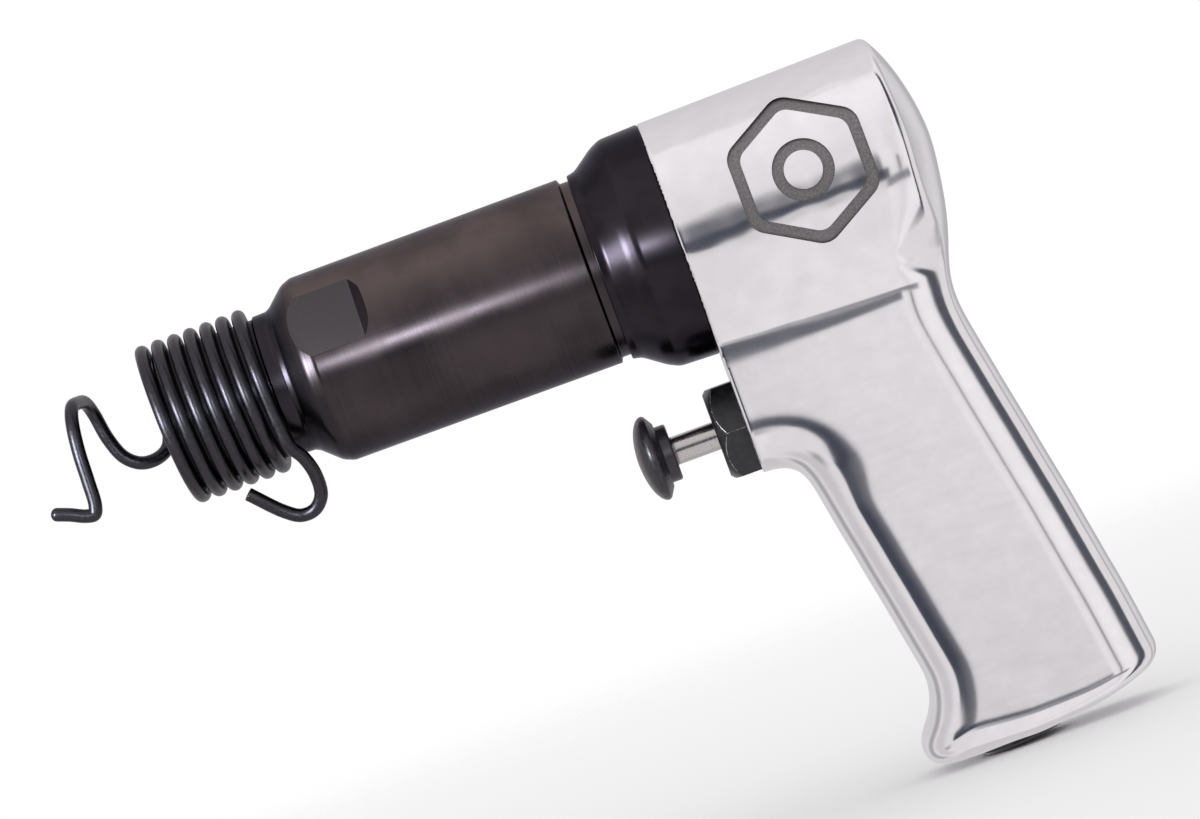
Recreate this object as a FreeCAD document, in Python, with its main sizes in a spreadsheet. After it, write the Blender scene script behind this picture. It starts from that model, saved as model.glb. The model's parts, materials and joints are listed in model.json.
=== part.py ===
import FreeCAD, Part
import math
import os
import Sketcher

# Pneumatic air hammer with a pistol grip.
# Frame: origin at the mouth of the shank bore, inside the nose, +X to the rear along the barrel axis,
# +Z up, Y = 0 is the plane of symmetry.  All lengths in millimetres.

V = FreeCAD.Vector

SIZES = {
    # barrel, front to rear
    "shank_bore_r": 5.12,
    "shank_bore_len": 36.0,
    "nose_front": -7.5,
    "collar_recess_r": 13.0,
    "piston_bore_r": 9.525,
    "barrel_len": 145.0,
    "seat_root_r": 16.95,
    "seat_len": 18.7,
    "collar_r": 17.5,
    "collar_end": 22.0,
    "taper_end": 30.0,
    "barrel_r": 23.25,
    "neck_start": 98.8,
    "neck_r": 22.1,
    "neck_end": 116.0,
    "thread_r": 20.5,
    "exhaust_x": 108.0,
    "exhaust_port_r": 2.2,
    "return_port_r": 1.6,
    "return_ring_r": 13.9,
    "return_front_x": 41.0,
    "flat_start": 25.5,
    "flat_len": 20.0,
    "flat_dist": 21.6,
    "flat_angle": 30.0,
    # exhaust deflector
    "deflector_start": 101.0,
    "deflector_lip_r": 23.33,
    "deflector_lip_bore_r": 22.7,
    "deflector_r": 29.2,
    "deflector_hollow_r": 26.0,
    "deflector_flange_bore_r": 20.6,
    # handle
    "face_x": 121.0,
    "head_front_r": 29.2,
    "head_rear_r": 30.17,
    "rim_x": 178.2,
    "dome_x": 186.3,
    "valve_bore_r": 19.1,
    "valve_bore_end": 163.5,
    "chamber_r": 16.0,
    "chamber_end": 172.0,
    "throttle_drop": 47.5,
    "throttle_bore_r": 8.8,
    "throttle_bore_end": 166.0,
    "boss_r": 12.0,
    "boss_len": 27.0,
    "outlet_r": 3.0,
    "inlet_r": 6.0,
    "base_drop": 140.3,
    "inlet_x": 158.0,
    "inlet_tilt": 4.0,
    "inlet_bore_r": 10.6,
    "inlet_bore_len": 23.0,
    # retainer spring
    "wire_r": 1.65,
    "coil_r": 18.7,
    "coil_pitch": 4.1,
    "coil_front_x": -9.2,
    # piston
    "piston_r": 9.48,
    "piston_len": 40.0,
    "piston_rest_x": 103.0,
    # valve stack
    "stack_r": 19.0,
    "plate_len": 5.0,
    "box_len": 12.0,
    "disc_r": 9.0,
    "disc_len": 1.2,
    "disc_travel": 1.0,
    "dowel_r": 1.5,
    "dowel_ring_r": 15.9,
    "dowel_len": 18.0,
    # throttle
    "hex_flats": 22.2,
    "hex_start": 113.5,
    "hex_len": 7.5,
    "bushing_r": 8.7,
    "bushing_end": 146.0,
    "undercut_r": 7.0,
    "stem_guide_r": 3.55,
    "flow_bore_r": 5.2,
    "stem_r": 3.5,
    "poppet_r": 6.6,
    "poppet_len": 2.5,
    "button_face_x": 93.6,
    "button_r": 10.6,
    "hub_r": 6.9,
    "throttle_travel": 8.0,
    # inlet
    "inlet_bushing_r": 10.5,
    "inlet_bushing_len": 22.0,
    "inlet_thread_r": 5.9,
}


class Dim:
    """A size that keeps its number together with the sheet expression it comes from."""

    def __init__(self, value, text):
        self.value = float(value)
        self.text = text

    def __add__(self, other):
        other = as_dim(other)
        return Dim(self.value + other.value, f"({self.text} + {other.text})")

    def __sub__(self, other):
        other = as_dim(other)
        return Dim(self.value - other.value, f"({self.text} - {other.text})")

    def __mul__(self, factor):
        return Dim(self.value * factor, f"({self.text} * {factor:.6g})")

    def __neg__(self):
        return Dim(-self.value, f"(0 - {self.text})")


def as_dim(size):
    if isinstance(size, Dim):
        return size
    return Dim(size, f"({size:.6g})")


def number(size):
    return size.value if isinstance(size, Dim) else float(size)


doc = FreeCAD.newDocument("air_hammer")
sheet = doc.addObject("Spreadsheet::Sheet", "dims")
for row, (alias, size) in enumerate(SIZES.items(), start=1):
    sheet.set(f"A{row}", alias.replace("_", " "))
    sheet.set(f"B{row}", f"{size:.6g}")
    sheet.setAlias(f"B{row}", alias)
doc.recompute()
D = {alias: Dim(size, f"dims.{alias}") for alias, size in SIZES.items()}


def bind(item, path, size):
    """Ties one property to its sheet expression."""
    item.setExpression(path, as_dim(size).text)


def new_body(label):
    body = doc.addObject("PartDesign::Body", label)
    body.Label = label
    return body


def origin_feature(body, role):
    for feature in body.Origin.OriginFeatures:
        if feature.Role == role:
            return feature
    raise ValueError(role)


def new_sketch(body, name, role, lift=0.0):
    """A sketch on an origin plane of its own body, lifted along the plane's normal."""
    sketch = body.newObject("Sketcher::SketchObject", name)
    sketch.AttachmentSupport = [(origin_feature(body, role), "")]
    sketch.MapMode = "FlatFace"
    sketch.AttachmentOffset = FreeCAD.Placement(V(0, 0, number(lift)), FreeCAD.Rotation())
    if isinstance(lift, Dim):
        bind(sketch, "AttachmentOffset.Base.z", lift)
    return sketch


def fix_point(sketch, index, position, x, y):
    for kind, size in (("DistanceX", x), ("DistanceY", y)):
        row = sketch.addConstraint(
            Sketcher.Constraint(kind, -1, 1, index, position, number(size)))
        if isinstance(size, Dim):
            bind(sketch, f"Constraints[{row}]", size)


def outline(sketch, corners, bulges=None):
    """A closed outline through the corners; a side listed in bulges is an arc through a point."""
    bulges = bulges or {}
    flat = [V(number(x), number(y), 0) for x, y in corners]
    ends = []
    for side, start in enumerate(flat):
        stop = flat[(side + 1) % len(flat)]
        if side in bulges:
            mid = V(number(bulges[side][0]), number(bulges[side][1]), 0)
            sketch.addGeometry(Part.Arc(start, mid, stop), False)
            turn = (mid - start).cross(stop - mid).z
            ends.append((1, 2) if turn > 0 else (2, 1))
        else:
            sketch.addGeometry(Part.LineSegment(start, stop), False)
            ends.append((1, 2))
    for side in range(len(flat)):
        after = (side + 1) % len(flat)
        sketch.addConstraint(
            Sketcher.Constraint("Coincident", side, ends[side][1], after, ends[after][0]))
    for side, (x, y) in enumerate(corners):
        fix_point(sketch, side, ends[side][0], x, y)
    for side, (x, y) in bulges.items():
        mark = sketch.addGeometry(Part.Point(V(number(x), number(y), 0)), True)
        fix_point(sketch, mark, 1, x, y)
        sketch.addConstraint(Sketcher.Constraint("PointOnObject", mark, 1, side))


def circle(sketch, x, y, radius):
    index = sketch.addGeometry(
        Part.Circle(V(number(x), number(y), 0), V(0, 0, 1), number(radius)), False)
    fix_point(sketch, index, 3, x, y)
    row = sketch.addConstraint(Sketcher.Constraint("Radius", index, number(radius)))
    if isinstance(radius, Dim):
        bind(sketch, f"Constraints[{row}]", radius)


def revolve(body, name, corners, bulges=None, kind="PartDesign::Revolution"):
    """Turns an (axial, radial) outline about the body's own X axis."""
    sketch = new_sketch(body, f"{name}_sketch", "XZ_Plane")
    outline(sketch, corners, bulges)
    feature = body.newObject(kind, name)
    feature.Profile = sketch
    feature.ReferenceAxis = (sketch, ["H_Axis"])
    feature.Angle = 360
    doc.recompute()
    return feature


def turned(label, corners, bulges=None):
    body = new_body(label)
    revolve(body, f"{label}_turning", corners, bulges)
    return body


def pocket_circles(body, name, role, lift, centres, radius, depth, reverse=False):
    """Round holes sunk from a lifted plane; reverse points them along the plane's normal."""
    sketch = new_sketch(body, f"{name}_sketch", role, lift)
    for x, y in centres:
        circle(sketch, x, y, radius)
    pocket = body.newObject("PartDesign::Pocket", name)
    pocket.Profile = sketch
    pocket.Length = number(depth)
    pocket.Reversed = reverse
    if isinstance(depth, Dim):
        bind(pocket, "Length", depth)
    before = body.Shape.Volume
    doc.recompute()
    if body.Shape.Volume > before - 0.1:
        raise RuntimeError(f"{name} cuts nothing")
    return pocket


def pattern(body, name, feature, count):
    """Repeats a feature around the body's own X axis."""
    ring = body.newObject("PartDesign::PolarPattern", name)
    ring.Originals = [feature]
    ring.Axis = (origin_feature(body, "X_Axis"), [""])
    ring.Angle = 360
    ring.Occurrences = count
    body.Tip = ring
    before = body.Shape.Volume
    doc.recompute()
    if abs(body.Shape.Volume - before) < 0.1 and count > 1:
        raise RuntimeError(f"{name} changes nothing")
    return ring


def on_throttle_axis(body):
    bind(body, "Placement.Base.z", -D["throttle_drop"])


def inlet_placement(depth):
    """A place on the tilted inlet axis, local X pointing up into the grip."""
    tilt = math.radians(SIZES["inlet_tilt"])
    mouth = V(SIZES["inlet_x"], 0, -SIZES["base_drop"])
    up = V(-math.sin(tilt), 0, math.cos(tilt))
    turn = FreeCAD.Rotation(V(1, 0, 0), up)
    return FreeCAD.Placement(mouth + up * depth, turn)


# ---------------------------------------------------------------- barrel
barrel_r = D["barrel_r"]
taper = D["taper_end"]
barrel = new_body("barrel")
revolve(barrel, "barrel_turning", [
    (0.0, D["shank_bore_r"]),
    (0.0, D["collar_recess_r"]),
    (D["nose_front"], D["collar_recess_r"]),
    (D["nose_front"], D["seat_root_r"] - 0.8),
    (D["nose_front"] + 0.8, D["seat_root_r"]),
    (D["seat_len"] - 0.6, D["seat_root_r"]),
    (D["seat_len"], D["collar_r"]),
    (D["collar_end"], D["collar_r"] + 0.35),
    (D["collar_end"] + 1.0, D["collar_r"] + 0.7),
    (taper - 1.9, barrel_r - 0.8),
    (taper - 1.0, barrel_r - 0.32),
    (taper + 1.0, barrel_r - 0.05),
    (D["neck_start"] - 0.4, barrel_r + 0.08),
    (D["neck_start"], barrel_r - 0.3),
    (D["neck_start"] + 0.2, D["neck_r"]),
    (D["neck_end"], D["neck_r"]),
    (D["neck_end"], D["thread_r"]),
    (D["barrel_len"] - 1.0, D["thread_r"]),
    (D["barrel_len"], D["thread_r"] - 1.0),
    (D["barrel_len"], D["piston_bore_r"]),
    (D["shank_bore_len"] + 1.5, D["piston_bore_r"]),
    (D["shank_bore_len"], D["shank_bore_r"] + 1.4),
    (D["shank_bore_len"], D["shank_bore_r"]),
])
# thread relief at the rear shoulder
relief = [(D["neck_end"], D["thread_r"] + 1.0), (D["neck_end"], D["thread_r"] - 0.7),
          (D["neck_end"] + 2.0, D["thread_r"] - 0.7), (D["neck_end"] + 2.0, D["thread_r"] + 1.0)]
revolve(barrel, "thread_relief", relief, kind="PartDesign::Groove")
# exhaust ports opening under the deflector
port = pocket_circles(barrel, "exhaust_port", "XY_Plane", D["neck_r"] + 3.0,
                      [(D["exhaust_x"], 0.0)], D["exhaust_port_r"], 18.0)
pattern(barrel, "exhaust_ports", port, 6)
# long return passages that lead air to the front of the piston bore
passage = pocket_circles(barrel, "return_passage", "YZ_Plane", D["barrel_len"],
                         [(D["return_ring_r"], 0.0)], D["return_port_r"],
                         D["barrel_len"] - D["return_front_x"])
pattern(barrel, "return_passages", passage, 2)
cross = pocket_circles(barrel, "return_cross_port", "XZ_Plane", D["return_ring_r"],
                       [(D["return_front_x"] + 2.5, 0.0)], D["return_port_r"], 7.0)
pattern(barrel, "return_cross_ports", cross, 2)
# blind holes for the two dowels
dowel_hole = pocket_circles(barrel, "dowel_hole", "YZ_Plane", D["barrel_len"],
                            [(0.0, D["dowel_ring_r"])], D["dowel_r"] + 0.02, 6.2)
pattern(barrel, "dowel_holes", dowel_hole, 2)
# two opposite wrench flats behind the nose taper
flat = barrel.newObject("PartDesign::SubtractiveBox", "wrench_flat")
flat.AttachmentSupport = [(origin_feature(barrel, "XY_Plane"), "")]
flat.MapMode = "FlatFace"
flat.Length = SIZES["flat_len"]
flat.Width = 2.0 * SIZES["barrel_r"]
flat.Height = 6.0
bind(flat, "Length", D["flat_len"])
bind(flat, "Width", D["barrel_r"] * 2.0)
lean = FreeCAD.Rotation(V(1, 0, 0), 90.0 - SIZES["flat_angle"])
corner = V(SIZES["flat_start"], 0, 0) + lean.multVec(V(0, -SIZES["barrel_r"], SIZES["flat_dist"]))
flat.AttachmentOffset = FreeCAD.Placement(corner, lean)
doc.recompute()
pattern(barrel, "wrench_flats", flat, 2)

# ---------------------------------------------------------------- exhaust deflector
start = D["deflector_start"]
lip = D["deflector_lip_r"]
skirt = D["deflector_r"]
deflector = turned("exhaust_deflector", [
    (start, D["deflector_lip_bore_r"]),
    (start, lip),
    (start + 2.0, lip + 0.6),
    (start + 3.0, lip + 1.25),
    (start + 9.0, skirt - 0.7),
    (start + 11.0, skirt - 0.25),
    (D["face_x"] - 0.4, skirt),
    (D["face_x"], skirt - 0.4),
    (D["face_x"], D["deflector_flange_bore_r"]),
    (D["neck_end"], D["deflector_flange_bore_r"]),
    (D["neck_end"], D["deflector_hollow_r"]),
    (start + 9.5, D["deflector_hollow_r"]),
    (start + 3.0, D["deflector_lip_bore_r"] + 0.15),
])

# ---------------------------------------------------------------- handle
# Level sections of the grip: height, front, rear corner, rear bulge, half width, corner half width.
GRIP = [
    (-14.0, 129.0, 181.0, 183.0, 15.0, 12.0),
    (-32.0, 126.0, 176.9, 179.1, 16.2, 13.0),
    (-47.0, 125.5, 178.0, 180.5, 16.5, 13.2),
    (-68.0, 131.2, 181.6, 184.6, 16.6, 13.4),
    (-92.0, 135.8, 186.0, 189.3, 16.6, 13.4),
    (-117.0, 140.4, 190.4, 193.7, 16.6, 13.4),
    (-128.0, 138.2, 191.9, 195.2, 16.6, 13.4),
    (-137.0, 133.4, 192.6, 196.0, 16.6, 13.4),
    (-143.0, 132.0, 193.0, 196.4, 16.6, 13.4),
]
handle = new_body("handle")
levels = []
for count, (level, front, corner_x, bulge_x, half, corner_y) in enumerate(GRIP):
    section = new_sketch(handle, f"grip_section_{count}", "XY_Plane", level)
    shoulder = front + 13.0
    outline(section, [
        (shoulder, -half + 0.6),
        (corner_x, -corner_y),
        (corner_x, corner_y),
        (shoulder, half - 0.6),
    ], {
        0: ((shoulder + corner_x) * 0.5, -half),
        1: (bulge_x, 0.0),
        2: ((shoulder + corner_x) * 0.5, half),
        3: (front, 0.0),
    })
    levels.append(section)
grip = handle.newObject("PartDesign::AdditiveLoft", "grip")
grip.Profile = levels[0]
grip.Sections = levels[1:]
grip.Ruled = False
doc.recompute()
revolve(handle, "head", [
    (D["face_x"], 0.0),
    (D["face_x"], D["head_front_r"]),
    (D["rim_x"] - 1.0, D["head_rear_r"]),
    (D["rim_x"], D["head_rear_r"] - 0.8),
    (D["dome_x"], 0.0),
], {3: (D["dome_x"] - 1.85, 14.5)})
boss_sketch = new_sketch(handle, "boss_sketch", "YZ_Plane", D["face_x"])
outline(boss_sketch, [
    (-D["boss_r"], -D["throttle_drop"]),
    (D["boss_r"], -D["throttle_drop"]),
    (D["boss_r"] + 3.0, -24.0),
    (D["boss_r"] + 3.0, -14.0),
    (-D["boss_r"] - 3.0, -14.0),
    (-D["boss_r"] - 3.0, -24.0),
], {0: (0.0, -D["throttle_drop"] - D["boss_r"])})
boss = handle.newObject("PartDesign::Pad", "throttle_boss")
boss.Profile = boss_sketch
boss.Length = SIZES["boss_len"]
bind(boss, "Length", D["boss_len"])
doc.recompute()
# the base, flat under the inlet and rising to the rear
base_sketch = new_sketch(handle, "base_sketch", "XZ_Plane", 40.0)
floor = -D["base_drop"]
outline(base_sketch, [
    (120.0, floor),
    (162.0, floor),
    (198.0, floor + 9.0),
    (198.0, floor - 12.0),
    (120.0, floor - 12.0),
], {1: (181.0, floor + 2.7)})
base_cut = handle.newObject("PartDesign::Pocket", "base_cut")
base_cut.Profile = base_sketch
base_cut.Length = 80.0
uncut = handle.Shape.Volume
doc.recompute()
if handle.Shape.Volume > uncut - 100.0:
    raise RuntimeError("base_cut cuts nothing")
# bores on the barrel axis: thread, valve stack and rear air chamber
revolve(handle, "head_bores", [
    (D["face_x"] - 2.0, 0.0),
    (D["face_x"] - 2.0, D["thread_r"] + 0.1),
    (D["barrel_len"] + 0.5, D["thread_r"] + 0.1),
    (D["barrel_len"] + 0.5, D["valve_bore_r"]),
    (D["valve_bore_end"], D["valve_bore_r"]),
    (D["valve_bore_end"], D["chamber_r"]),
    (D["chamber_end"], D["chamber_r"]),
    (D["chamber_end"], 0.0),
], kind="PartDesign::Groove")


def bore(name, radius, length, foot, direction):
    """A round passage through the handle from foot along direction."""
    tool = handle.newObject("PartDesign::SubtractiveCylinder", name)
    tool.AttachmentSupport = [(origin_feature(handle, "XY_Plane"), "")]
    tool.MapMode = "FlatFace"
    tool.Radius = number(radius)
    tool.Height = number(length)
    bind(tool, "Radius", radius)
    bind(tool, "Height", length)
    turn = FreeCAD.Rotation(V(0, 0, 1), direction)
    tool.AttachmentOffset = FreeCAD.Placement(foot, turn)
    before = handle.Shape.Volume
    doc.recompute()
    if handle.Shape.Volume > before - 1.0:
        raise RuntimeError(f"{name} cuts nothing")


drop = SIZES["throttle_drop"]
bore("throttle_bore", D["throttle_bore_r"], D["throttle_bore_end"] - 119.0,
     V(119.0, 0, -drop), V(1, 0, 0))
bore("outlet_passage", D["outlet_r"], 37.0, V(135.0, 0, -drop + 7.5), V(34.0, 0, 15.0))
bore("outlet_riser", D["outlet_r"], 13.0, V(169.0, 0, -27.0), V(0, 0, 1))
inlet_mouth = inlet_placement(-4.0)
inlet_up = inlet_mouth.Rotation.multVec(V(1, 0, 0))
bore("inlet_bore", D["inlet_bore_r"], D["inlet_bore_len"] + 4.0, inlet_mouth.Base, inlet_up)
bore("inlet_passage", D["inlet_r"], 96.0, inlet_mouth.Base, inlet_up)

# ---------------------------------------------------------------- piston
rest = D["piston_rest_x"]
piston_end = rest + D["piston_len"]
piston_r = D["piston_r"]
turned("piston", [
    (rest, 0.0),
    (rest, 4.6),
    (rest + 0.6, 5.2),
    (rest + 3.0, 5.2),
    (rest + 4.5, piston_r),
    (rest + 16.0, piston_r),
    (rest + 17.5, piston_r - 1.5),
    (rest + 24.5, piston_r - 1.5),
    (rest + 26.0, piston_r),
    (piston_end - 1.0, piston_r),
    (piston_end, piston_r - 1.0),
    (piston_end, 3.0),
    (piston_end - 5.0, 3.0),
    (piston_end - 6.5, 0.0),
])

# ---------------------------------------------------------------- valve stack
plate_start = D["barrel_len"]
plate_end = D["barrel_len"] + D["plate_len"]
stack_r = D["stack_r"]
seat = turned("valve_seat", [
    (plate_start, 3.6),
    (plate_start, stack_r - 0.5),
    (plate_start + 0.5, stack_r),
    (plate_end, stack_r),
    (plate_end, 3.6),
])
reach = D["plate_len"] + 2.0
seat_port = pocket_circles(seat, "seat_return_port", "YZ_Plane", plate_end,
                           [(D["return_ring_r"], 0.0)], D["return_port_r"], reach)
pattern(seat, "seat_return_ports", seat_port, 2)
seat_dowel = pocket_circles(seat, "seat_dowel_hole", "YZ_Plane", plate_end,
                            [(0.0, D["dowel_ring_r"])], D["dowel_r"] + 0.02, reach)
pattern(seat, "seat_dowel_holes", seat_dowel, 2)

box_end = plate_end + D["box_len"]
recess_end = plate_end + D["disc_len"] + D["disc_travel"] + 0.1
box = turned("valve_box", [
    (plate_end, D["disc_r"] + 0.08),
    (plate_end, stack_r),
    (box_end - 0.5, stack_r),
    (box_end, stack_r - 0.5),
    (box_end, 0.0),
    (recess_end, 0.0),
    (recess_end, D["disc_r"] + 0.08),
])
supply = pocket_circles(box, "supply_hole", "YZ_Plane", box_end, [(6.0, 0.0)], 1.8,
                        D["box_len"] + 1.0)
pattern(box, "supply_holes", supply, 6)
box_port = pocket_circles(box, "box_return_port", "YZ_Plane", box_end,
                          [(D["return_ring_r"], 0.0)], D["return_port_r"],
                          D["box_len"] + 2.0)
pattern(box, "box_return_ports", box_port, 2)
box_dowel = pocket_circles(box, "box_dowel_hole", "YZ_Plane", plate_end,
                           [(0.0, D["dowel_ring_r"])], D["dowel_r"] + 0.02, 7.2, True)
pattern(box, "box_dowel_holes", box_dowel, 2)

disc_start = plate_end + 0.05
turned("valve_disc", [
    (disc_start, 0.0),
    (disc_start, D["disc_r"] - 0.2),
    (disc_start + 0.2, D["disc_r"]),
    (disc_start + D["disc_len"] - 0.2, D["disc_r"]),
    (disc_start + D["disc_len"], D["disc_r"] - 0.2),
    (disc_start + D["disc_len"], 0.0),
])
turned("valve_gasket", [
    (box_end, D["chamber_r"] - 0.6),
    (box_end, D["valve_bore_r"] - 0.25),
    (D["valve_bore_end"], D["valve_bore_r"] - 0.25),
    (D["valve_bore_end"], D["chamber_r"] - 0.6),
])


def ring(label, middle, major, minor):
    """A round seal about the body's own X axis."""
    body = new_body(label)
    sketch = new_sketch(body, f"{label}_section", "XZ_Plane")
    circle(sketch, middle, major, minor)
    feature = body.newObject("PartDesign::Revolution", f"{label}_turning")
    feature.Profile = sketch
    feature.ReferenceAxis = (sketch, ["H_Axis"])
    feature.Angle = 360
    return body


# two straight dowels, one above and one below the bore
dowels = doc.addObject("Part::Compound", "valve_dowel_pins")
dowels.Label = "valve_dowel_pins"
pins = []
for name, side in (("upper_dowel", 1.0), ("lower_dowel", -1.0)):
    pin = doc.addObject("Part::Cylinder", name)
    bind(pin, "Radius", D["dowel_r"])
    bind(pin, "Height", D["dowel_len"])
    pin.Placement = FreeCAD.Placement(V(0, 0, 0), FreeCAD.Rotation(V(0, 1, 0), 90))
    bind(pin, "Placement.Base.x", D["barrel_len"] - 6.0)
    bind(pin, "Placement.Base.z", D["dowel_ring_r"] * side)
    pins.append(pin)
dowels.Links = pins

# seal between the barrel's rear shoulder and the head
ring("barrel_o_ring", D["neck_end"] + 1.0, D["thread_r"] - 0.31, 0.37)

# ---------------------------------------------------------------- throttle
hex_start = D["hex_start"]
hex_end = hex_start + D["hex_len"]
bushing_r = D["bushing_r"]
bushing_end = D["bushing_end"]
guide = D["stem_guide_r"]
flow = D["flow_bore_r"]
bushing = turned("throttle_bushing", [
    (hex_start, guide + 0.5),
    (hex_start, bushing_r + 0.4),
    (hex_end, bushing_r + 0.4),
    (hex_end, bushing_r - 0.4),
    (hex_end + 2.0, bushing_r - 0.4),
    (hex_end + 2.0, bushing_r),
    (hex_end + 3.5, bushing_r),
    (hex_end + 3.5, bushing_r - 1.2),
    (hex_end + 5.7, bushing_r - 1.2),
    (hex_end + 5.7, bushing_r),
    (bushing_end - 16.0, bushing_r),
    (bushing_end - 15.0, D["undercut_r"]),
    (bushing_end - 7.0, D["undercut_r"]),
    (bushing_end - 6.0, bushing_r),
    (bushing_end - 4.4, bushing_r),
    (bushing_end - 4.4, bushing_r - 1.2),
    (bushing_end - 2.2, bushing_r - 1.2),
    (bushing_end - 2.2, bushing_r),
    (bushing_end - 1.2, bushing_r),
    (bushing_end, flow + 1.0),
    (bushing_end, flow),
    (bushing_end - 18.0, flow),
    (bushing_end - 19.0, guide),
    (hex_start + 5.9, guide),
    (hex_start + 5.9, 5.3),
    (hex_start + 3.5, 5.3),
    (hex_start + 3.5, guide),
    (hex_start + 0.5, guide),
])
hex_sketch = new_sketch(bushing, "hex_sketch", "YZ_Plane", hex_start)
corner_r = D["hex_flats"] * (1.0 / math.sqrt(3.0))
half_flats = D["hex_flats"] * 0.5
outline(hex_sketch, [
    (corner_r, 0.0),
    (corner_r * 0.5, half_flats),
    (-corner_r * 0.5, half_flats),
    (-corner_r, 0.0),
    (-corner_r * 0.5, -half_flats),
    (corner_r * 0.5, -half_flats),
])
circle(hex_sketch, 0.0, 0.0, bushing_r)
hexagon = bushing.newObject("PartDesign::Pad", "hexagon")
hexagon.Profile = hex_sketch
hexagon.Length = SIZES["hex_len"]
bind(hexagon, "Length", D["hex_len"])
doc.recompute()
revolve(bushing, "hex_chamfer", [
    (hex_start - 0.2, half_flats - 0.1),
    (hex_start - 0.2, corner_r + 1.0),
    (hex_start + 1.5, corner_r + 1.0),
], kind="PartDesign::Groove")
outlet = pocket_circles(bushing, "outlet_port", "XY_Plane", bushing_r + 1.0,
                        [(bushing_end - 11.0, 0.0)], 2.0, 6.0)
pattern(bushing, "outlet_ports", outlet, 4)
on_throttle_axis(bushing)

on_throttle_axis(ring("bushing_o_ring", hex_end + 4.6, bushing_r - 0.58, 0.6))
on_throttle_axis(ring("port_o_ring", bushing_end - 3.3, bushing_r - 0.58, 0.6))
on_throttle_axis(ring("stem_o_ring", hex_start + 4.7, D["stem_r"] + 0.93, 0.85))

face = D["button_face_x"]
button_r = D["button_r"]
hub_end = face + 9.0
stem_r = D["stem_r"]
on_throttle_axis(turned("throttle_button", [
    (face, 0.0),
    (face + 2.6, button_r - 1.2),
    (face + 3.8, button_r),
    (face + 5.9, button_r),
    (face + 6.5, button_r - 0.6),
    (face + 6.5, D["hub_r"]),
    (hub_end, D["hub_r"]),
    (hub_end, stem_r),
    (face + 3.5, stem_r),
    (face + 3.5, 0.0),
], {0: (face + 0.75, 5.6)}))
poppet_start = bushing_end + 0.02
poppet_end = poppet_start + D["poppet_len"]
on_throttle_axis(turned("throttle_stem", [
    (face + 3.5, 0.0),
    (face + 3.5, stem_r),
    (poppet_start, stem_r),
    (poppet_start, stem_r - 0.5),
    (poppet_end, stem_r - 0.5),
    (poppet_end, D["poppet_r"]),
    (poppet_end + 1.6, D["poppet_r"]),
    (poppet_end + 2.0, D["poppet_r"] - 0.4),
    (poppet_end + 2.0, 2.6),
    (poppet_end + 4.0, 2.2),
    (poppet_end + 4.0, 0.0),
]))
on_throttle_axis(turned("poppet_washer", [
    (poppet_start, stem_r - 0.5),
    (poppet_start, D["poppet_r"]),
    (poppet_end, D["poppet_r"]),
    (poppet_end, stem_r - 0.5),
]))
spring_start = poppet_end + 2.0 + 0.5
spring_span = D["throttle_bore_end"] - 1.0 - spring_start
coil = new_body("throttle_spring")
coil_sketch = new_sketch(coil, "coil_section", "XZ_Plane")
circle(coil_sketch, spring_start, 4.6, 0.45)
coil_wire = coil.newObject("PartDesign::AdditiveHelix", "coil_wire")
coil_wire.Profile = coil_sketch
coil_wire.ReferenceAxis = (coil_sketch, ["H_Axis"])
coil_wire.Mode = "height-turns-angle"
coil_wire.Turns = 6.0
coil_wire.Height = number(spring_span)
bind(coil_wire, "Height", spring_span)
on_throttle_axis(coil)

# ---------------------------------------------------------------- inlet
bushing_outer = D["inlet_bushing_r"]
bushing_top = D["inlet_bushing_len"]
inlet = turned("inlet_bushing", [
    (-0.7, D["inlet_thread_r"] + 0.7),
    (-0.7, bushing_outer - 0.6),
    (-0.1, bushing_outer),
    (10.0, bushing_outer),
    (10.0, bushing_outer - 1.1),
    (12.2, bushing_outer - 1.1),
    (12.2, bushing_outer),
    (bushing_top - 1.0, bushing_outer),
    (bushing_top, bushing_outer - 1.0),
    (bushing_top, 7.6),
    (bushing_top - 3.2, 7.6),
    (bushing_top - 3.2, D["inlet_thread_r"] - 0.9),
    (14.0, D["inlet_thread_r"] - 0.9),
    (13.0, D["inlet_thread_r"]),
    (0.0, D["inlet_thread_r"]),
])
inlet.Placement = inlet_placement(0.0)
seal = ring("inlet_o_ring", 11.1, bushing_outer - 0.48, 0.56)
seal.Placement = inlet_placement(0.0)
screen = turned("inlet_screen", [
    (bushing_top - 3.2, 0.0),
    (bushing_top - 3.2, 7.5),
    (bushing_top - 2.4, 7.5),
    (bushing_top - 2.4, 0.0),
])
pocket_circles(screen, "middle_hole", "YZ_Plane", bushing_top, [(0.0, 0.0)], 0.7, 4.0)
for name, radius, count in (("inner_hole", 2.3, 6), ("outer_hole", 4.6, 12)):
    hole = pocket_circles(screen, name, "YZ_Plane", bushing_top, [(0.0, radius)], 0.7, 4.0)
    pattern(screen, f"{name}s", hole, count)
screen.Placement = inlet_placement(0.0)
snap = turned("screen_ring", [
    (bushing_top - 2.4, 6.3),
    (bushing_top - 2.4, 7.5),
    (bushing_top - 1.5, 7.5),
    (bushing_top - 1.5, 6.3),
])
snap.Placement = inlet_placement(0.0)


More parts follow.
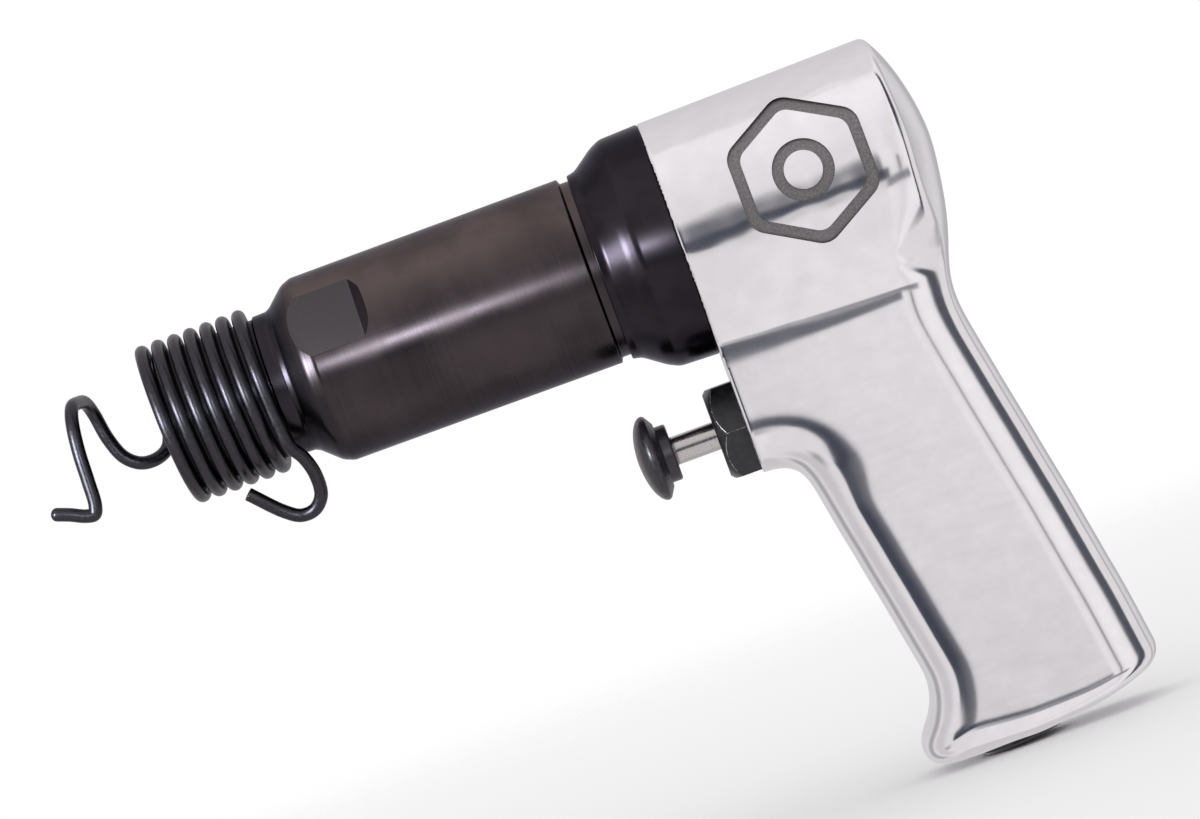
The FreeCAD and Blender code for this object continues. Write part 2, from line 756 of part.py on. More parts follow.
# ---------------------------------------------------------------- retainer spring
def rounded_path(points, radii):
    """Straight runs joined by tangent arcs, as a list of edges."""
    edges = []
    last = points[0]
    for before, point, after, radius in zip(points, points[1:], points[2:], radii):
        inward = (before - point).normalize()
        outward = (after - point).normalize()
        half = inward.getAngle(outward) / 2.0
        run = radius / math.tan(half)
        first = point + inward * run
        final = point + outward * run
        heart = point + (inward + outward).normalize() * (radius / math.sin(half))
        middle = heart + (point - heart).normalize() * radius
        if (first - last).Length > 0.02:
            edges.append(Part.LineSegment(last, first).toShape())
        edges.append(Part.Arc(first, middle, final).toShape())
        last = final
    edges.append(Part.LineSegment(last, points[-1]).toShape())
    return edges


def coil_point(turn):
    """A point on the coil's centre line; turn 0 is the top of the front turn."""
    angle = 2.0 * math.pi * turn
    radius = SIZES["coil_r"]
    return V(SIZES["coil_front_x"] + SIZES["coil_pitch"] * turn,
             -radius * math.sin(angle), radius * math.cos(angle))


def coil_tangent(turn):
    return (coil_point(turn + 1e-4) - coil_point(turn - 1e-4)).normalize()


FRONT_TURN = -0.23
REAR_TURN = 6.28
turns = REAR_TURN - FRONT_TURN
helix = Part.makeHelix(SIZES["coil_pitch"], SIZES["coil_pitch"] * turns, SIZES["coil_r"])
# the helix is laid along +X and turned so that it starts at its front end
lay = FreeCAD.Rotation(V(0, 0, 1), V(1, 0, 0))
spin = FreeCAD.Rotation(V(1, 0, 0), 360.0 * FRONT_TURN - 180.0)
helix.Placement = FreeCAD.Placement(V(coil_point(FRONT_TURN).x, 0, 0), spin.multiply(lay))
front_end = coil_point(FRONT_TURN)
rear_end = coil_point(REAR_TURN)
# the arch in front of the nose, which keeps the chisel's collar
arch = rounded_path([
    front_end,
    front_end - coil_tangent(FRONT_TURN) * 7.5,
    V(-21.5, 14.6, -7.6),
    V(-26.0, 13.4, 3.5),
    V(-27.0, 9.5, 13.6),
    V(-28.9, -10.5, 12.9),
    V(-30.6, -13.4, 0.0),
    V(-31.4, -13.2, -15.2),
    V(-40.6, -13.0, -10.8),
], [6.0, 5.0, 9.0, 5.0, 7.0, 30.0, 2.6])
# the tail that the user grips to unscrew the retainer
tail = rounded_path([
    rear_end,
    rear_end + coil_tangent(REAR_TURN) * 11.0,
    V(21.3, -12.6, -20.5),
    V(20.4, -9.3, -30.3),
    V(13.4, -7.0, -32.2),
    V(3.9, -9.0, -22.1),
], [8.0, 8.0, 3.6, 4.5])
path = Part.Wire(Part.sortEdges(arch + [helix.Edges[0]] + tail)[0])
start = path.OrderedVertexes[0].Point
first = path.OrderedEdges[0]
along = first.tangentAt(first.FirstParameter)
section = Part.Wire(Part.Circle(start, along, SIZES["wire_r"]).toShape())
wire = path.makePipeShell([section], True, True)
swept = path.Length * math.pi * SIZES["wire_r"] ** 2
if abs(wire.Volume - swept) > 0.01 * swept:
    raise RuntimeError("the wire's volume is not its section times its length")
retainer = doc.addObject("Part::Feature", "retainer_spring")
retainer.Label = "retainer_spring"
retainer.Shape = wire

# ---------------------------------------------------------------- checks and export
doc.recompute()
NODES = [
    "handle", "barrel", "exhaust_deflector", "barrel_o_ring", "retainer_spring", "piston",
    "valve_seat", "valve_disc", "valve_box", "valve_dowel_pins", "valve_gasket",
    "throttle_bushing", "bushing_o_ring", "port_o_ring", "stem_o_ring", "throttle_stem",
    "poppet_washer", "throttle_button", "throttle_spring", "inlet_bushing", "inlet_o_ring",
    "inlet_screen", "screen_ring",
]
for item in doc.Objects:
    if any(word in state for state in item.State for word in ("Invalid", "Error")):
        raise RuntimeError(f"{item.Label} failed: {item.State}")
os.makedirs("parts", exist_ok=True)
for node in NODES:
    shape = doc.getObjectsByLabel(node)[0].Shape
    if shape.isNull() or not shape.isValid():
        raise RuntimeError(f"{node} has no valid shape")
    shape.exportStep(f"parts/{node}.step")
    print(f"{node}: {len(shape.Solids)} solid, {shape.Volume / 1000.0:.2f} cm3")
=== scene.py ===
import json
import math

import bmesh
import bpy
import numpy as np
from mathutils import Matrix, Vector


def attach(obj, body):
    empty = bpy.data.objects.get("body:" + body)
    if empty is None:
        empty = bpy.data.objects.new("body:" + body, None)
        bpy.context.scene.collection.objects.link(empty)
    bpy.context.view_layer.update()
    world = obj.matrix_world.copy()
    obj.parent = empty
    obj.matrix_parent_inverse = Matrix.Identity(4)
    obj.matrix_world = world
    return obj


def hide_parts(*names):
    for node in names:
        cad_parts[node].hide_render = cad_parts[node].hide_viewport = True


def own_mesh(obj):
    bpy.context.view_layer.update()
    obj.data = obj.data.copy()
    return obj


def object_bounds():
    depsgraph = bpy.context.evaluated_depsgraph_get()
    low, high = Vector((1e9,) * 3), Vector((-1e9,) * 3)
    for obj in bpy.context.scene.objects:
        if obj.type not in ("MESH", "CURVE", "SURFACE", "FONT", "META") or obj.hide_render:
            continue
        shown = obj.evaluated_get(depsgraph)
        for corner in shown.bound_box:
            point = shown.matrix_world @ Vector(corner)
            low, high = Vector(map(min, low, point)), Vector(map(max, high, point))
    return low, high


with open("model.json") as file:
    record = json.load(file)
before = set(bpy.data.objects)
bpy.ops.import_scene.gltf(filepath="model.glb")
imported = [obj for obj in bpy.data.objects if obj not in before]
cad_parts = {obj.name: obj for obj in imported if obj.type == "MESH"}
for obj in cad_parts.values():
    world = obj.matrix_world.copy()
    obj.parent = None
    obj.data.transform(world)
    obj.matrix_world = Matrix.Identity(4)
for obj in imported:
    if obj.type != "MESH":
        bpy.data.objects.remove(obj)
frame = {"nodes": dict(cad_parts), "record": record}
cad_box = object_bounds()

# Lengths here are in millimetres until mesh_piece() turns them into metres.
MM = 0.001

# --------------------------------------------------------------- node helpers


class Nodes:
    """A short way to write a shader tree."""

    def __init__(self, tree):
        self.tree = tree
        tree.nodes.clear()

    def add(self, kind, **settings):
        node = self.tree.nodes.new(kind)
        for key, value in settings.items():
            setattr(node, key, value)
        return node

    def plug(self, socket, source):
        if isinstance(source, bpy.types.NodeSocket):
            self.tree.links.new(source, socket)
        elif source is not None:
            socket.default_value = source

    def math(self, operation, a, b=None, c=None):
        node = self.add("ShaderNodeMath", operation=operation)
        for socket, source in zip(node.inputs, (a, b, c)):
            self.plug(socket, source)
        return node.outputs[0]

    def span(self, value, low, high, out_low=0.0, out_high=1.0, smooth=True):
        node = self.add("ShaderNodeMapRange")
        node.interpolation_type = "SMOOTHSTEP" if smooth else "LINEAR"
        self.plug(node.inputs["Value"], value)
        for name, number in (("From Min", low), ("From Max", high),
                             ("To Min", out_low), ("To Max", out_high)):
            self.plug(node.inputs[name], number)
        return node.outputs["Result"]

    def mix(self, factor, a, b):
        node = self.add("ShaderNodeMix", data_type="RGBA")
        self.plug(node.inputs["Factor"], factor)
        self.plug(node.inputs["A"], a)
        self.plug(node.inputs["B"], b)
        return node.outputs["Result"]

    def place(self, scale=(1.0, 1.0, 1.0), rotation=(0.0, 0.0, 0.0)):
        coords = self.add("ShaderNodeTexCoord")
        mapping = self.add("ShaderNodeMapping")
        mapping.inputs["Scale"].default_value = scale
        mapping.inputs["Rotation"].default_value = rotation
        self.tree.links.new(coords.outputs["Object"], mapping.inputs["Vector"])
        return mapping.outputs[0]

    def noise(self, vector, scale, detail=3.0, rough=0.5):
        node = self.add("ShaderNodeTexNoise")
        self.plug(node.inputs["Vector"], vector)
        node.inputs["Scale"].default_value = scale
        node.inputs["Detail"].default_value = detail
        node.inputs["Roughness"].default_value = rough
        return node.outputs["Fac"]

    def bump(self, height, distance, strength=1.0, normal=None):
        node = self.add("ShaderNodeBump")
        self.plug(node.inputs["Height"], height)
        node.inputs["Distance"].default_value = distance
        node.inputs["Strength"].default_value = strength
        self.plug(node.inputs["Normal"], normal)
        return node.outputs[0]


def material(name):
    mat = bpy.data.materials.new(name)
    mat.use_nodes = True
    tree = Nodes(mat.node_tree)
    shader = tree.add("ShaderNodeBsdfPrincipled")
    out = tree.add("ShaderNodeOutputMaterial")
    tree.tree.links.new(shader.outputs[0], out.inputs["Surface"])
    return mat, tree, shader


def rgb(red, green, blue):
    return (red, green, blue, 1.0)


# --------------------------------------------------------------- materials


def polished_aluminium():
    mat, tree, shader = material("polished_aluminium")
    cloud = tree.noise(tree.place(), 30.0, 2.0)
    streaks = tree.noise(tree.place((60.0, 900.0, 620.0), (0.0, 0.35, 0.0)), 1.0, 4.0, 0.6)
    mottle = tree.noise(tree.place(), 190.0, 4.0, 0.6)
    colour = tree.mix(tree.span(mottle, 0.35, 0.7), rgb(0.845, 0.825, 0.835),
                      rgb(0.88, 0.862, 0.872))
    tree.plug(shader.inputs["Base Color"], colour)
    shader.inputs["Metallic"].default_value = 1.0
    rough = tree.span(streaks, 0.3, 0.75, 0.115, 0.135, smooth=False)
    tree.plug(shader.inputs["Roughness"], rough)
    fine = tree.bump(streaks, 0.0000015, 0.2)
    wide = tree.bump(mottle, 0.00003, 0.2, fine)
    split = tree.add("ShaderNodeSeparateXYZ")
    tree.plug(split.inputs[0], tree.place())
    # slow waves in the casting's skin, on the head only and calmer towards its rear rim
    on_head = tree.span(split.outputs[2], -0.034, -0.016, 0.06, 1.0)
    calm_rear = tree.span(split.outputs[0], 0.172, 0.186, 1.0, 0.2)
    wave = tree.math("MULTIPLY", tree.math("SUBTRACT", cloud, 0.5),
                     tree.math("MULTIPLY", on_head, calm_rear))
    slow = tree.bump(wave, 0.0032, 0.45, wide)
    tree.plug(shader.inputs["Normal"], slow)
    return mat


def etched_aluminium():
    mat, tree, shader = material("etched_aluminium")
    grain = tree.noise(tree.place(), 2600.0, 2.0)
    colour = tree.mix(tree.span(grain, 0.3, 0.7), rgb(0.20, 0.19, 0.19), rgb(0.32, 0.30, 0.30))
    tree.plug(shader.inputs["Base Color"], colour)
    shader.inputs["Metallic"].default_value = 0.9
    shader.inputs["Roughness"].default_value = 0.55
    tree.plug(shader.inputs["Normal"], tree.bump(grain, 0.0001, 0.5))
    return mat


def black_steel(name, low, high, rough_low, rough_high, turned=True):
    """Blued steel; turned pieces show fine rings, a darker nose and a painted brown reflection on
    top.
    """
    mat, tree, shader = material(name)
    cloud = tree.noise(tree.place(), 60.0, 4.0)
    grit = tree.noise(tree.place(), 1500.0, 3.0, 0.6)
    colour = tree.mix(tree.span(cloud, 0.3, 0.72), low, high)
    normal = tree.bump(grit, 0.00001, 0.3)
    if turned:
        rings = tree.noise(tree.place((5200.0, 10.0, 10.0)), 1.0, 3.0, 0.7)
        split = tree.add("ShaderNodeSeparateXYZ")
        tree.plug(split.inputs[0], tree.place())
        # painted reflection: the upper side of turned pieces is mixed towards a lighter warm brown,
        # patchy with the cloud
        top = tree.math("MULTIPLY", tree.span(split.outputs[2], 0.003, 0.022),
                        tree.span(cloud, 0.25, 0.65, 0.45, 1.0))
        colour = tree.mix(top, colour, rgb(0.150, 0.115, 0.106))
        # darker, bluer tone on the nose in front of x = 23 mm
        body = tree.span(split.outputs[0], 0.023, 0.033)
        colour = tree.mix(body, rgb(0.027, 0.024, 0.030), colour)
        colour = tree.mix(tree.span(rings, 0.35, 0.75, 0.0, 0.22), colour, rgb(0.11, 0.09, 0.09))
        normal = tree.bump(rings, 0.000006, 0.25, normal)
    tree.plug(shader.inputs["Base Color"], colour)
    shader.inputs["Metallic"].default_value = 1.0
    shader.inputs["Specular Tint"].default_value = rgb(0.60, 0.60, 0.64)
    tree.plug(shader.inputs["Roughness"], tree.span(cloud, 0.3, 0.7, rough_low, rough_high))
    tree.plug(shader.inputs["Normal"], normal)
    return mat


def worn_edge():
    """Black steel rubbed bright in patches."""
    mat, tree, shader = material("worn_edge")
    patch = tree.noise(tree.place(), 420.0, 4.0, 0.7)
    bare = tree.span(patch, 0.44, 0.58)
    colour = tree.mix(bare, rgb(0.10, 0.10, 0.105), rgb(0.62, 0.61, 0.60))
    tree.plug(shader.inputs["Base Color"], colour)
    shader.inputs["Metallic"].default_value = 1.0
    shader.inputs["Roughness"].default_value = 0.35
    return mat


def plain_metal(name, colour, rough, metallic=1.0, grain=900.0, bump=0.00002):
    mat, tree, shader = material(name)
    speck = tree.noise(tree.place(), grain, 3.0)
    dark = rgb(*(c * 0.82 for c in colour[:3]))
    tree.plug(shader.inputs["Base Color"], tree.mix(tree.span(speck, 0.3, 0.7), dark, colour))
    shader.inputs["Metallic"].default_value = metallic
    tree.plug(shader.inputs["Roughness"], tree.span(speck, 0.3, 0.7, rough * 0.85, rough * 1.2))
    tree.plug(shader.inputs["Normal"], tree.bump(speck, bump, 0.4))
    return mat


MATS = {
    "polished": polished_aluminium(),
    "etched": etched_aluminium(),
    "barrel": black_steel("black_steel_turned", rgb(0.037, 0.030, 0.033),
                          rgb(0.060, 0.048, 0.050), 0.22, 0.29),
    "deflector": black_steel("black_steel_satin", rgb(0.022, 0.018, 0.023),
                             rgb(0.037, 0.031, 0.036), 0.20, 0.27, turned=False),
    "milled": plain_metal("black_steel_milled", rgb(0.088, 0.079, 0.082), 0.40, grain=5000.0),
    "worn": plain_metal("black_steel_worn", rgb(0.058, 0.057, 0.060), 0.32, grain=500.0),
    "edge": worn_edge(),
    "wire": plain_metal("spring_wire", rgb(0.056, 0.053, 0.060), 0.33, grain=1500.0, bump=0.000003),
    "steel": plain_metal("bright_steel", rgb(0.62, 0.59, 0.57), 0.20, grain=3000.0, bump=0.000004),
    "ground": plain_metal("hardened_steel", rgb(0.50, 0.50, 0.51), 0.30),
    "rubber": plain_metal("seal_rubber", rgb(0.02, 0.02, 0.02), 0.60, metallic=0.0),
    "plastic": plain_metal("button_plastic", rgb(0.026, 0.020, 0.030), 0.30, metallic=0.0),
    "brass": plain_metal("screen_brass", rgb(0.62, 0.48, 0.22), 0.35),
}

# --------------------------------------------------------------- mesh helpers


def mesh_piece(name, verts, faces, mats, slot, nodes=(), body="frame", sharp=None):
    """Makes an object from millimetre points, and places it on its body."""
    mesh = bpy.data.meshes.new(name)
    mesh.from_pydata([tuple(v) for v in np.asarray(verts, float) * MM], [], faces)
    mesh.validate()
    piece = bpy.data.objects.new(name, mesh)
    bpy.context.scene.collection.objects.link(piece)
    for mat in mats:
        mesh.materials.append(mat)
    tidy = bmesh.new()
    tidy.from_mesh(mesh)
    bmesh.ops.recalc_face_normals(tidy, faces=tidy.faces)
    tidy.to_mesh(mesh)
    tidy.free()
    shade(piece, sharp)
    if slot:
        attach(piece, body)
        if nodes:
            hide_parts(*nodes)
    return piece


def shade(piece, sharp=None):
    piece.data.polygons.foreach_set("use_smooth", [True] * len(piece.data.polygons))
    if sharp is not None:
        piece.data.set_sharp_from_angle(angle=math.radians(sharp))


def apply_modifier(piece, kind, **settings):
    modifier = piece.modifiers.new("step", kind)
    for key, value in settings.items():
        setattr(modifier, key, value)
    graph = bpy.context.evaluated_depsgraph_get()
    made = bpy.data.meshes.new_from_object(piece.evaluated_get(graph), depsgraph=graph)
    piece.modifiers.clear()
    old = piece.data
    piece.data = made
    bpy.data.meshes.remove(old)


def cut(piece, tool, operation="DIFFERENCE"):
    apply_modifier(piece, "BOOLEAN", object=tool, operation=operation, solver="MANIFOLD",
                   material_mode="TRANSFER")
    bpy.data.objects.remove(tool)


def rounded(points, radii, steps=6, closed=False):
    """A flat outline whose corners are replaced by arcs."""
    points = [np.array(p, float) for p in points]
    count = len(points)
    out = []
    for i, point in enumerate(points):
        radius = radii[i] if isinstance(radii, (list, tuple)) else radii
        if (not closed and i in (0, count - 1)) or radius <= 0:
            out.append(point)
            continue
        back = points[i - 1] - point
        ahead = points[(i + 1) % count] - point
        len_back, len_ahead = np.linalg.norm(back), np.linalg.norm(ahead)
        back, ahead = back / len_back, ahead / len_ahead
        cosine = np.clip(np.dot(back, ahead), -1, 1)
        half = math.acos(cosine) / 2
        if half > math.radians(89.5):
            out.append(point)
            continue
        run = min(radius / math.tan(half), 0.48 * len_back, 0.48 * len_ahead)
        size = run * math.tan(half)
        heart = point + (back + ahead) / np.linalg.norm(back + ahead) * (size / math.sin(half))
        first = point + back * run - heart
        last = point + ahead * run - heart
        sweep = math.atan2(first[0] * last[1] - first[1] * last[0], np.dot(first, last))
        for k in range(steps + 1):
            a = sweep * k / steps
            turn = np.array([[math.cos(a), -math.sin(a)], [math.sin(a), math.cos(a)]])
            out.append(heart + turn @ first)
    return out


def lathe(profile, segments=160, closed=False, axis_z=0.0):
    """Points and faces of a profile of (x, radius) turned about the X direction."""
    verts, rings = [], []
    angles = np.arange(segments) * 2 * math.pi / segments
    for x, radius in profile:
        if radius < 1e-6:
            rings.append([len(verts)])
            verts.append((x, 0.0, axis_z))
            continue
        start = len(verts)
        rings.append(list(range(start, start + segments)))
        verts.extend((x, -radius * math.sin(a), axis_z + radius * math.cos(a)) for a in angles)
    faces = []
    pairs = list(zip(rings, rings[1:]))
    if closed:
        pairs.append((rings[-1], rings[0]))
    for near, far in pairs:
        for k in range(segments):
            n = (k + 1) % segments
            if len(near) == 1 and len(far) == 1:
                continue
            if len(near) == 1:
                faces.append((near[0], far[n], far[k]))
            elif len(far) == 1:
                faces.append((near[k], near[n], far[0]))
            else:
                faces.append((near[k], near[n], far[n], far[k]))
    return verts, faces


def tube(path, radius, sides=24, round_start=True, round_end=True):
    """A round wire along a dense path, with domed or flat ends."""
    path = np.asarray(path, float)
    count = len(path)
    tangents = np.gradient(path, axis=0)
    tangents /= np.linalg.norm(tangents, axis=1)[:, None]
    normal = np.cross(tangents[0], (0.3, 0.5, 0.8))
    normal /= np.linalg.norm(normal)
    verts, faces, rings = [], [], []
    angles = np.arange(sides) * 2 * math.pi / sides

    def add_ring(centre, u, v, size):
        rings.append(list(range(len(verts), len(verts) + sides)))
        verts.extend(centre + size * (math.cos(a) * u + math.sin(a) * v) for a in angles)

    frames = []
    for t in tangents:
        normal = normal - np.dot(normal, t) * t
        normal /= np.linalg.norm(normal)
        frames.append((normal.copy(), np.cross(t, normal)))
    dome = 0.85 * radius if round_start else 0.18
    for k in range(5, 0, -1):
        a = k / 5.0 * math.pi / 2 * 0.96
        add_ring(path[0] - tangents[0] * math.sin(a) * dome, *frames[0],
                 radius * math.cos(a) if round_start else radius - 0.18 * (1 - math.cos(a)))
    for i in range(count):
        add_ring(path[i], *frames[i], radius)
    dome = 0.85 * radius if round_end else 0.18
    for k in range(1, 6):
        a = k / 5.0 * math.pi / 2 * 0.96
        add_ring(path[-1] + tangents[-1] * math.sin(a) * dome, *frames[-1],
                 radius * math.cos(a) if round_end else radius - 0.18 * (1 - math.cos(a)))
    for near, far in zip(rings, rings[1:]):
        for k in range(sides):
            n = (k + 1) % sides
            faces.append((near[k], near[n], far[n], far[k]))
    faces.append(tuple(reversed(rings[0])))
    faces.append(tuple(rings[-1]))
    return verts, faces


def spline(points, per_span=14):
    """A centripetal Catmull-Rom line through the points."""
    pts = [np.array(p, float) for p in points]
    pts = [2 * pts[0] - pts[1]] + pts + [2 * pts[-1] - pts[-2]]
    out = []
    for p0, p1, p2, p3 in zip(pts, pts[1:], pts[2:], pts[3:]):
        t0 = 0.0
        t1 = t0 + np.linalg.norm(p1 - p0) ** 0.5
        t2 = t1 + np.linalg.norm(p2 - p1) ** 0.5
        t3 = t2 + np.linalg.norm(p3 - p2) ** 0.5
        for t in np.linspace(t1, t2, per_span, endpoint=False):
            a1 = (t1 - t) / (t1 - t0) * p0 + (t - t0) / (t1 - t0) * p1
            a2 = (t2 - t) / (t2 - t1) * p1 + (t - t1) / (t2 - t1) * p2
            a3 = (t3 - t) / (t3 - t2) * p2 + (t - t2) / (t3 - t2) * p3
            b1 = (t2 - t) / (t2 - t0) * a1 + (t - t0) / (t2 - t0) * a2
            b2 = (t3 - t) / (t3 - t1) * a2 + (t - t1) / (t3 - t1) * a3
            out.append((t2 - t) / (t2 - t1) * b1 + (t - t1) / (t2 - t1) * b2)
    out.append(pts[-2])
    return out

# --------------------------------------------------------------- handle
# The casting is one smooth solid: head, boss and grip blended, then cut by the rear face,
# the front face and the base.  The rear line gives x at each z, the base line z at each x.
REAR_LINE = [
    (34.0, 176.0), (31.0, 178.2), (28.0, 180.2), (25.0, 181.7), (22.0, 182.8), (19.0, 183.8),
    (16.0, 184.5), (13.0, 185.2), (10.0, 185.7), (7.0, 186.0), (4.0, 186.3), (1.0, 186.2),
    (-2.0, 185.9), (-5.0, 185.5), (-8.0, 185.1), (-11.0, 184.6), (-14.0, 184.1), (-17.0, 183.4),
    (-20.0, 182.6), (-23.0, 181.6), (-26.0, 180.5), (-29.0, 179.5), (-32.0, 178.9),
    (-35.0, 178.8), (-38.0, 178.9), (-41.0, 179.4), (-44.0, 180.0), (-47.0, 180.5),
    (-53.0, 181.7), (-59.0, 182.8), (-65.0, 184.0), (-71.0, 185.2), (-77.0, 186.3),
    (-83.0, 187.5), (-89.0, 188.7), (-95.0, 189.7), (-101.0, 190.8), (-107.0, 191.8),
    (-113.0, 193.0), (-119.0, 193.9), (-125.0, 194.7), (-131.0, 195.6), (-142.0, 197.2),
]
FRONT_LINE = [
    (100.0, -59.6), (108.0, -59.6), (115.0, -59.6), (121.0, -59.6), (124.5, -59.9), (127.3, -60.9),
    (129.3, -62.6), (130.5, -65.0), (131.3, -68.0), (132.4, -74.0), (133.5, -80.0), (134.7, -86.0),
    (135.8, -92.0), (137.0, -98.0), (138.1, -104.0), (139.2, -110.0), (140.3, -116.0),
    (140.7, -119.0), (140.5, -122.0), (139.7, -125.0), (138.2, -128.0), (136.0, -131.0),
    (134.2, -134.0), (133.2, -137.0), (132.8, -140.0), (132.6, -146.0), (132.6, -156.0),
]
BASE_LINE = [
    (120.0, -140.3), (161.0, -140.3), (163.0, -140.1), (167.0, -139.6), (171.0, -139.2),
    (175.0, -138.7), (179.0, -138.0), (183.0, -137.0), (187.0, -135.8), (191.0, -134.4),
    (195.0, -132.8), (199.0, -131.0),
]
FACE_X = 121.0
GRIP_HALF = 16.5
GRIP_FRONT_DEPTH = 12.0
THROTTLE_Z = -47.5
HEAD_FRONT_R, HEAD_TAPER = 29.2, 0.0173
FRONT_LINE_TOP = -59.6
MAP_X, MAP_Z = 114.0, -148.0
# radius and rear end of the bores on the barrel's axis: thread, valve chest, air chamber
AXIS_BORES = [(20.6, 145.5), (19.1, 163.5), (16.0, 172.0)]
INLET_X, INLET_Z, INLET_TILT = 158.0, -140.3, math.radians(4.0)


def smooth_line(table, sigma):
    """A finely sampled, smoothed copy of a measured line."""
    keys = np.array(sorted(table), float)
    grid = np.arange(keys[0, 0] - 12, keys[-1, 0] + 12, 0.2)
    values = np.interp(grid, keys[:, 0], keys[:, 1])
    for end, side in ((0, grid < keys[0, 0]), (-1, grid > keys[-1, 0])):
        step = 1 if end == 0 else -2
        slope = ((keys[end, 1] - keys[step, 1]) / (keys[end, 0] - keys[step, 0]))
        values[side] = keys[end, 1] + slope * (grid[side] - keys[end, 0])
    reach = int(3 * sigma / 0.2)
    kernel = np.exp(-0.5 * (np.arange(-reach, reach + 1) * 0.2 / sigma) ** 2)
    kernel /= kernel.sum()
    padded = np.pad(values, reach, mode="reflect", reflect_type="odd")
    return grid, np.convolve(padded, kernel, mode="valid")


REAR = smooth_line(REAR_LINE, 3.0)
BASE = smooth_line(BASE_LINE, 2.5)


def look_up(line, at):
    return np.interp(at, line[0], line[1])


def smooth_min(a, b, k):
    h = np.maximum(k - np.abs(a - b), 0.0) / k
    return np.minimum(a, b) - h * h * (k * 0.25)


def smooth_max(a, b, k):
    return -smooth_min(-a, -b, k)


def inset_map():
    """How deep each point of the side view lies behind the front line, on a fine grid."""
    line = np.array(FRONT_LINE, float)
    dense = np.array(spline([(x, 0.0, z) for x, z in line], 16))[:, (0, 2)]
    xs = np.arange(MAP_X, 204.0, INSET_STEP)
    zs = np.arange(MAP_Z, 36.0, INSET_STEP)
    gx, gz = np.meshgrid(xs, zs, indexing="ij")
    best = np.full(gx.shape, 1e9)
    for a, b in zip(dense, dense[1:]):
        way = b - a
        t = ((gx - a[0]) * way[0] + (gz - a[1]) * way[1]) / np.dot(way, way)
        t = np.clip(t, 0.0, 1.0)
        best = np.minimum(best, np.hypot(gx - a[0] - t * way[0], gz - a[1] - t * way[1]))
    level = np.interp(-gz, -dense[:, 1], dense[:, 0])
    behind = (gz > FRONT_LINE_TOP) | (gx > level)
    return np.where(behind, best, -best)


INSET_STEP = 0.25
INSET = inset_map()


def inset(x, z):
    """The depth behind the front line, read from the grid."""
    fx = np.clip((x - MAP_X) / INSET_STEP, 0, INSET.shape[0] - 2.001)
    fz = np.clip((z - MAP_Z) / INSET_STEP, 0, INSET.shape[1] - 2.001)
    ix, iz = fx.astype(int), fz.astype(int)
    tx, tz = fx - ix, fz - iz
    near = INSET[ix, iz] * (1 - tx) + INSET[ix + 1, iz] * tx
    far = INSET[ix, iz + 1] * (1 - tx) + INSET[ix + 1, iz + 1] * tx
    return near * (1 - tz) + far * tz


def handle_field(x, y, z):
    """Negative inside the handle; near the surface it is close to a distance."""
    side = np.abs(y)
    rear = look_up(REAR, z)
    bow = 0.0083 + 0.0080 * np.clip((-18.0 - z) / 26.0, 0.0, 1.0)
    rear_here = rear - bow * y * y
    # head, with a soft shoulder low on its sides in front of the rim
    radius = np.sqrt(y * y + z * z)
    near_rim = np.clip((8.0 - (rear - 7.0 - x)) / 8.0, 0.0, 1.5)
    low_side = np.clip((20.0 - z) / 18.0, 0.0, 1.0)
    low_side = low_side * low_side * (3 - 2 * low_side)
    head_r = HEAD_FRONT_R + HEAD_TAPER * (x - FACE_X) - 1.3 * near_rim * near_rim * low_side
    head = radius - head_r
    # grip and boss, a rounded slab behind the front line
    power = 3.0
    deep = np.clip((z + 76.0) / 14.0, 0.0, 1.0)
    depth = GRIP_FRONT_DEPTH + 3.5 * deep * deep * (3.0 - 2.0 * deep)
    u = np.maximum(depth - inset(x, z), 0.0) / depth
    back = np.clip((10.5 - (rear - 2.9 - x)) / 10.5, 0.0, 1.6)
    along = np.clip((x - FACE_X) / 48.0, 0.0, 1.3)
    flare = (0.0078 + 0.0122 * along) * np.maximum(z + 34.4 - 2.0 * along, 0.0) ** 2
    foot = 0.00011 * np.minimum(z + 60.0, 0.0) ** 2
    half = GRIP_HALF - 3.4 * back * back + 0.026 * (150.0 - x) + foot + np.minimum(flare, 1.4)
    grip = ((u ** power + (side / half) ** power) ** (1.0 / power) - 1.0) * 14.0
    grip = np.maximum(grip, z + 12.0)
    body = smooth_min(grip, head, 3.6)
    body = smooth_max(body, x - rear_here, 1.3)
    body = smooth_max(body, FACE_X - x, 0.6)
    base = (look_up(BASE, x) - z) * 0.98
    return smooth_max(body, base, 9.0 - 5.0 * np.clip((x - 140.0) / 50.0, 0.0, 1.0))


def bores_field(x, y, z):
    """Negative inside the bores."""
    radius = np.sqrt(y * y + z * z)
    bore = np.maximum(radius - AXIS_BORES[0][0], x - AXIS_BORES[0][1])
    for size, end in AXIS_BORES[1:]:
        bore = np.minimum(bore, np.maximum(radius - size, x - end))
    throttle = np.sqrt(y * y + (z - THROTTLE_Z) ** 2)
    bore = np.minimum(bore, np.maximum(throttle - 8.8, x - 166.0))
    rx, rz = x - INLET_X, z - INLET_Z
    climb = -math.sin(INLET_TILT) * rx + math.cos(INLET_TILT) * rz
    off = math.cos(INLET_TILT) * rx + math.sin(INLET_TILT) * rz
    inlet = np.maximum(np.sqrt(y * y + off * off) - 10.6, climb - 23.0)
    return np.minimum(bore, inlet)


def casting(x, y, z):
    return smooth_max(handle_field(x, y, z), -bores_field(x, y, z), 0.35)


